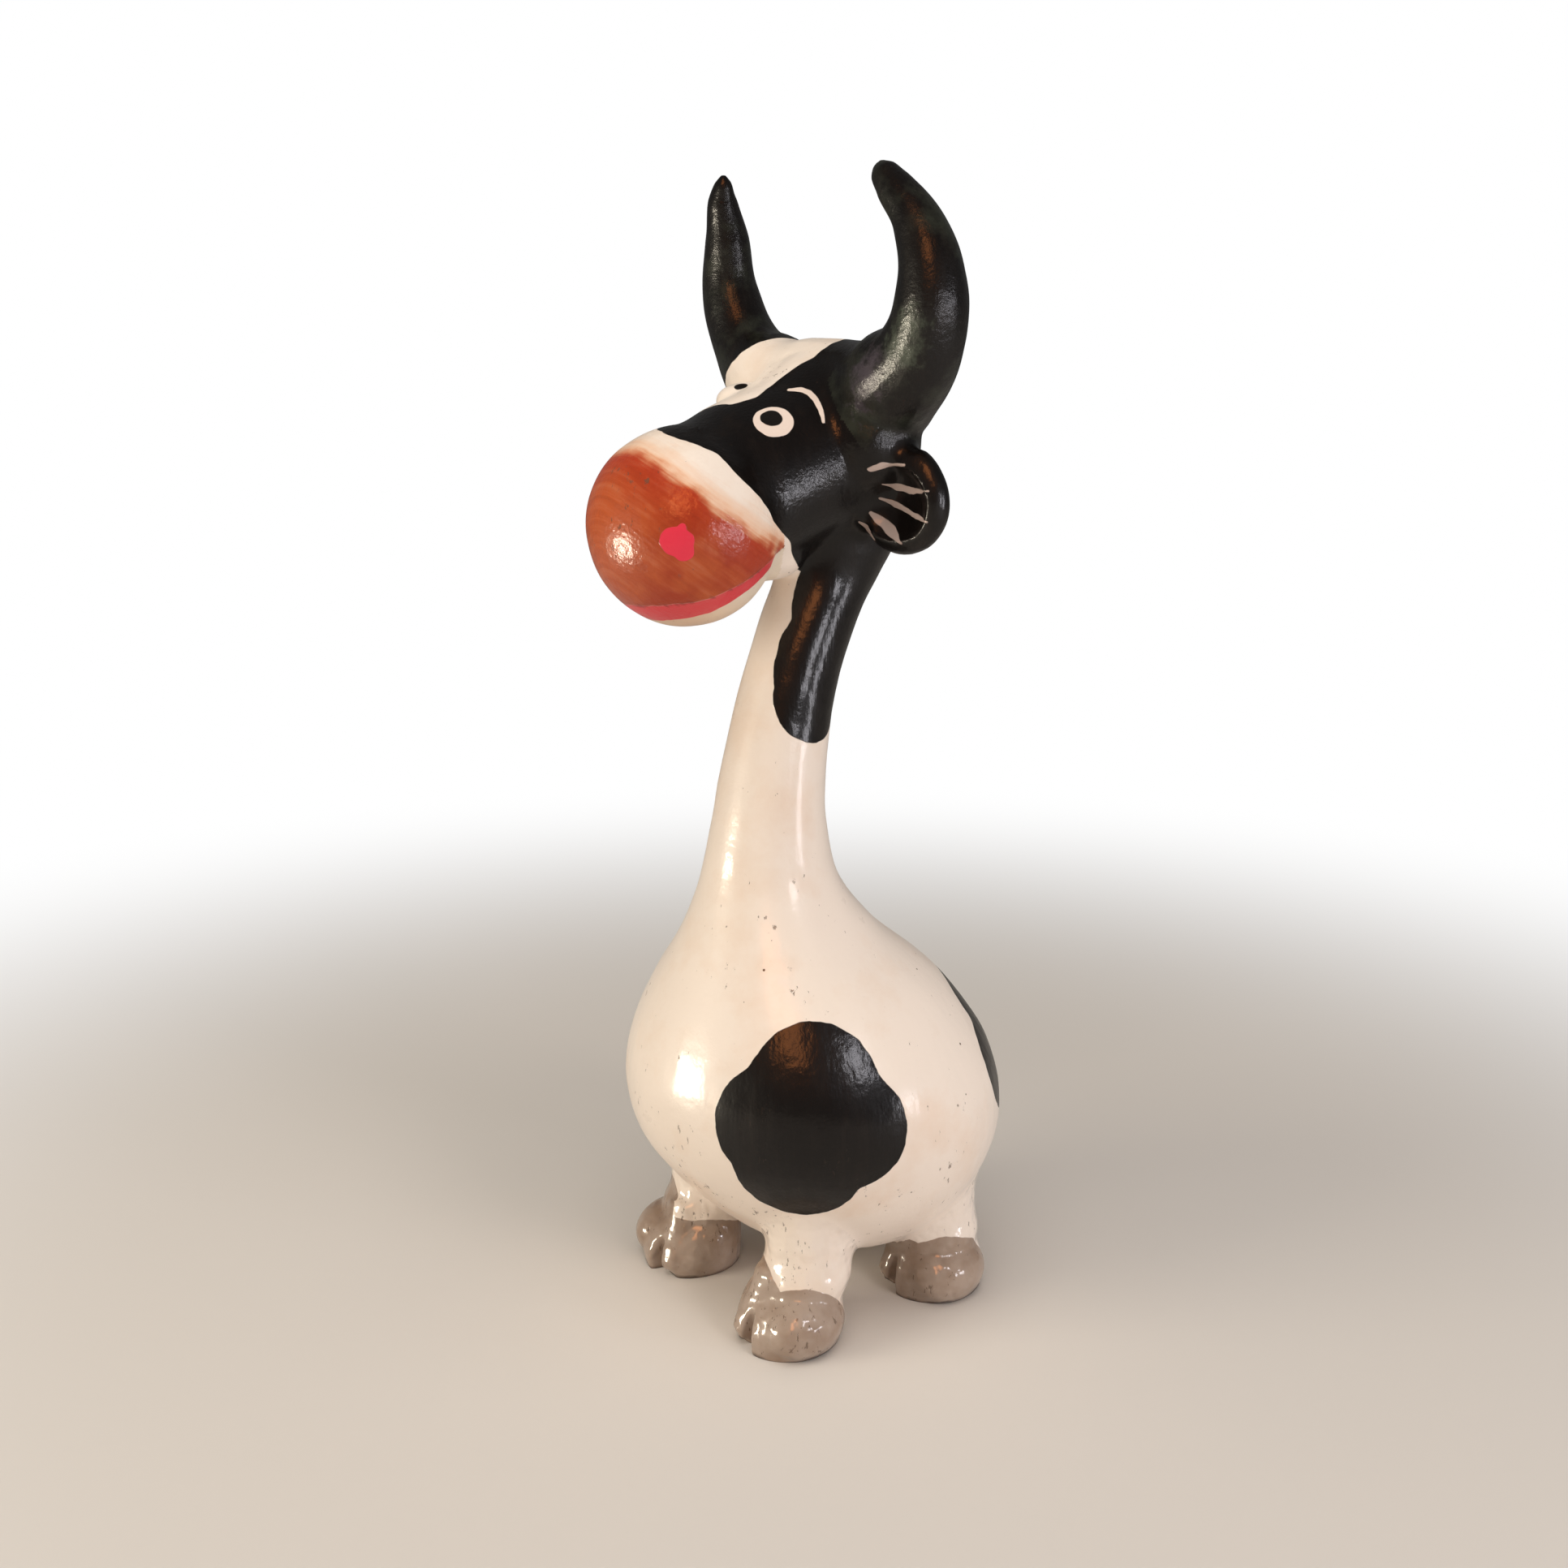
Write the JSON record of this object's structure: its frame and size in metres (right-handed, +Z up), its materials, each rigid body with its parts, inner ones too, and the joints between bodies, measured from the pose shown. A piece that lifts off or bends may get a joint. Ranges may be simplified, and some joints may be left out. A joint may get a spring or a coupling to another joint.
{
  "type": "folk pottery cow figure",
  "caption": "Standing folk cow figure in painted clay, with a bottle-shaped body, a long neck, curved horns, cupped ears, a ball muzzle and short cloven-hoofed legs.",
  "frame": {"origin": "on the surface it stands on, under the middle of its outline", "axes": "+Z up, the head faces -Y, the cow's left side is +X"},
  "size_m": [0.1046, 0.1208, 0.3022],
  "materials": {
    "cream_slip": "satin lacquer over cream slip",
    "black_lacquer": "satin black paint under lacquer",
    "terracotta_wash": "burnished orange-brown wash under lacquer",
    "hoof_grey": "glossy grey-brown paint"
  },
  "bodies": {
    "root": {"body": "cream_slip", "neck": "cream_slip", "skull": "black_lacquer", "muzzle": "terracotta_wash", "horn_left": "black_lacquer", "horn_right": "black_lacquer", "ear_left": "black_lacquer", "ear_right": "black_lacquer", "leg_front_left": "hoof_grey", "leg_front_right": "hoof_grey", "leg_back_left": "hoof_grey", "leg_back_right": "hoof_grey", "tail": "black_lacquer"}
  },
  "joints": []
}
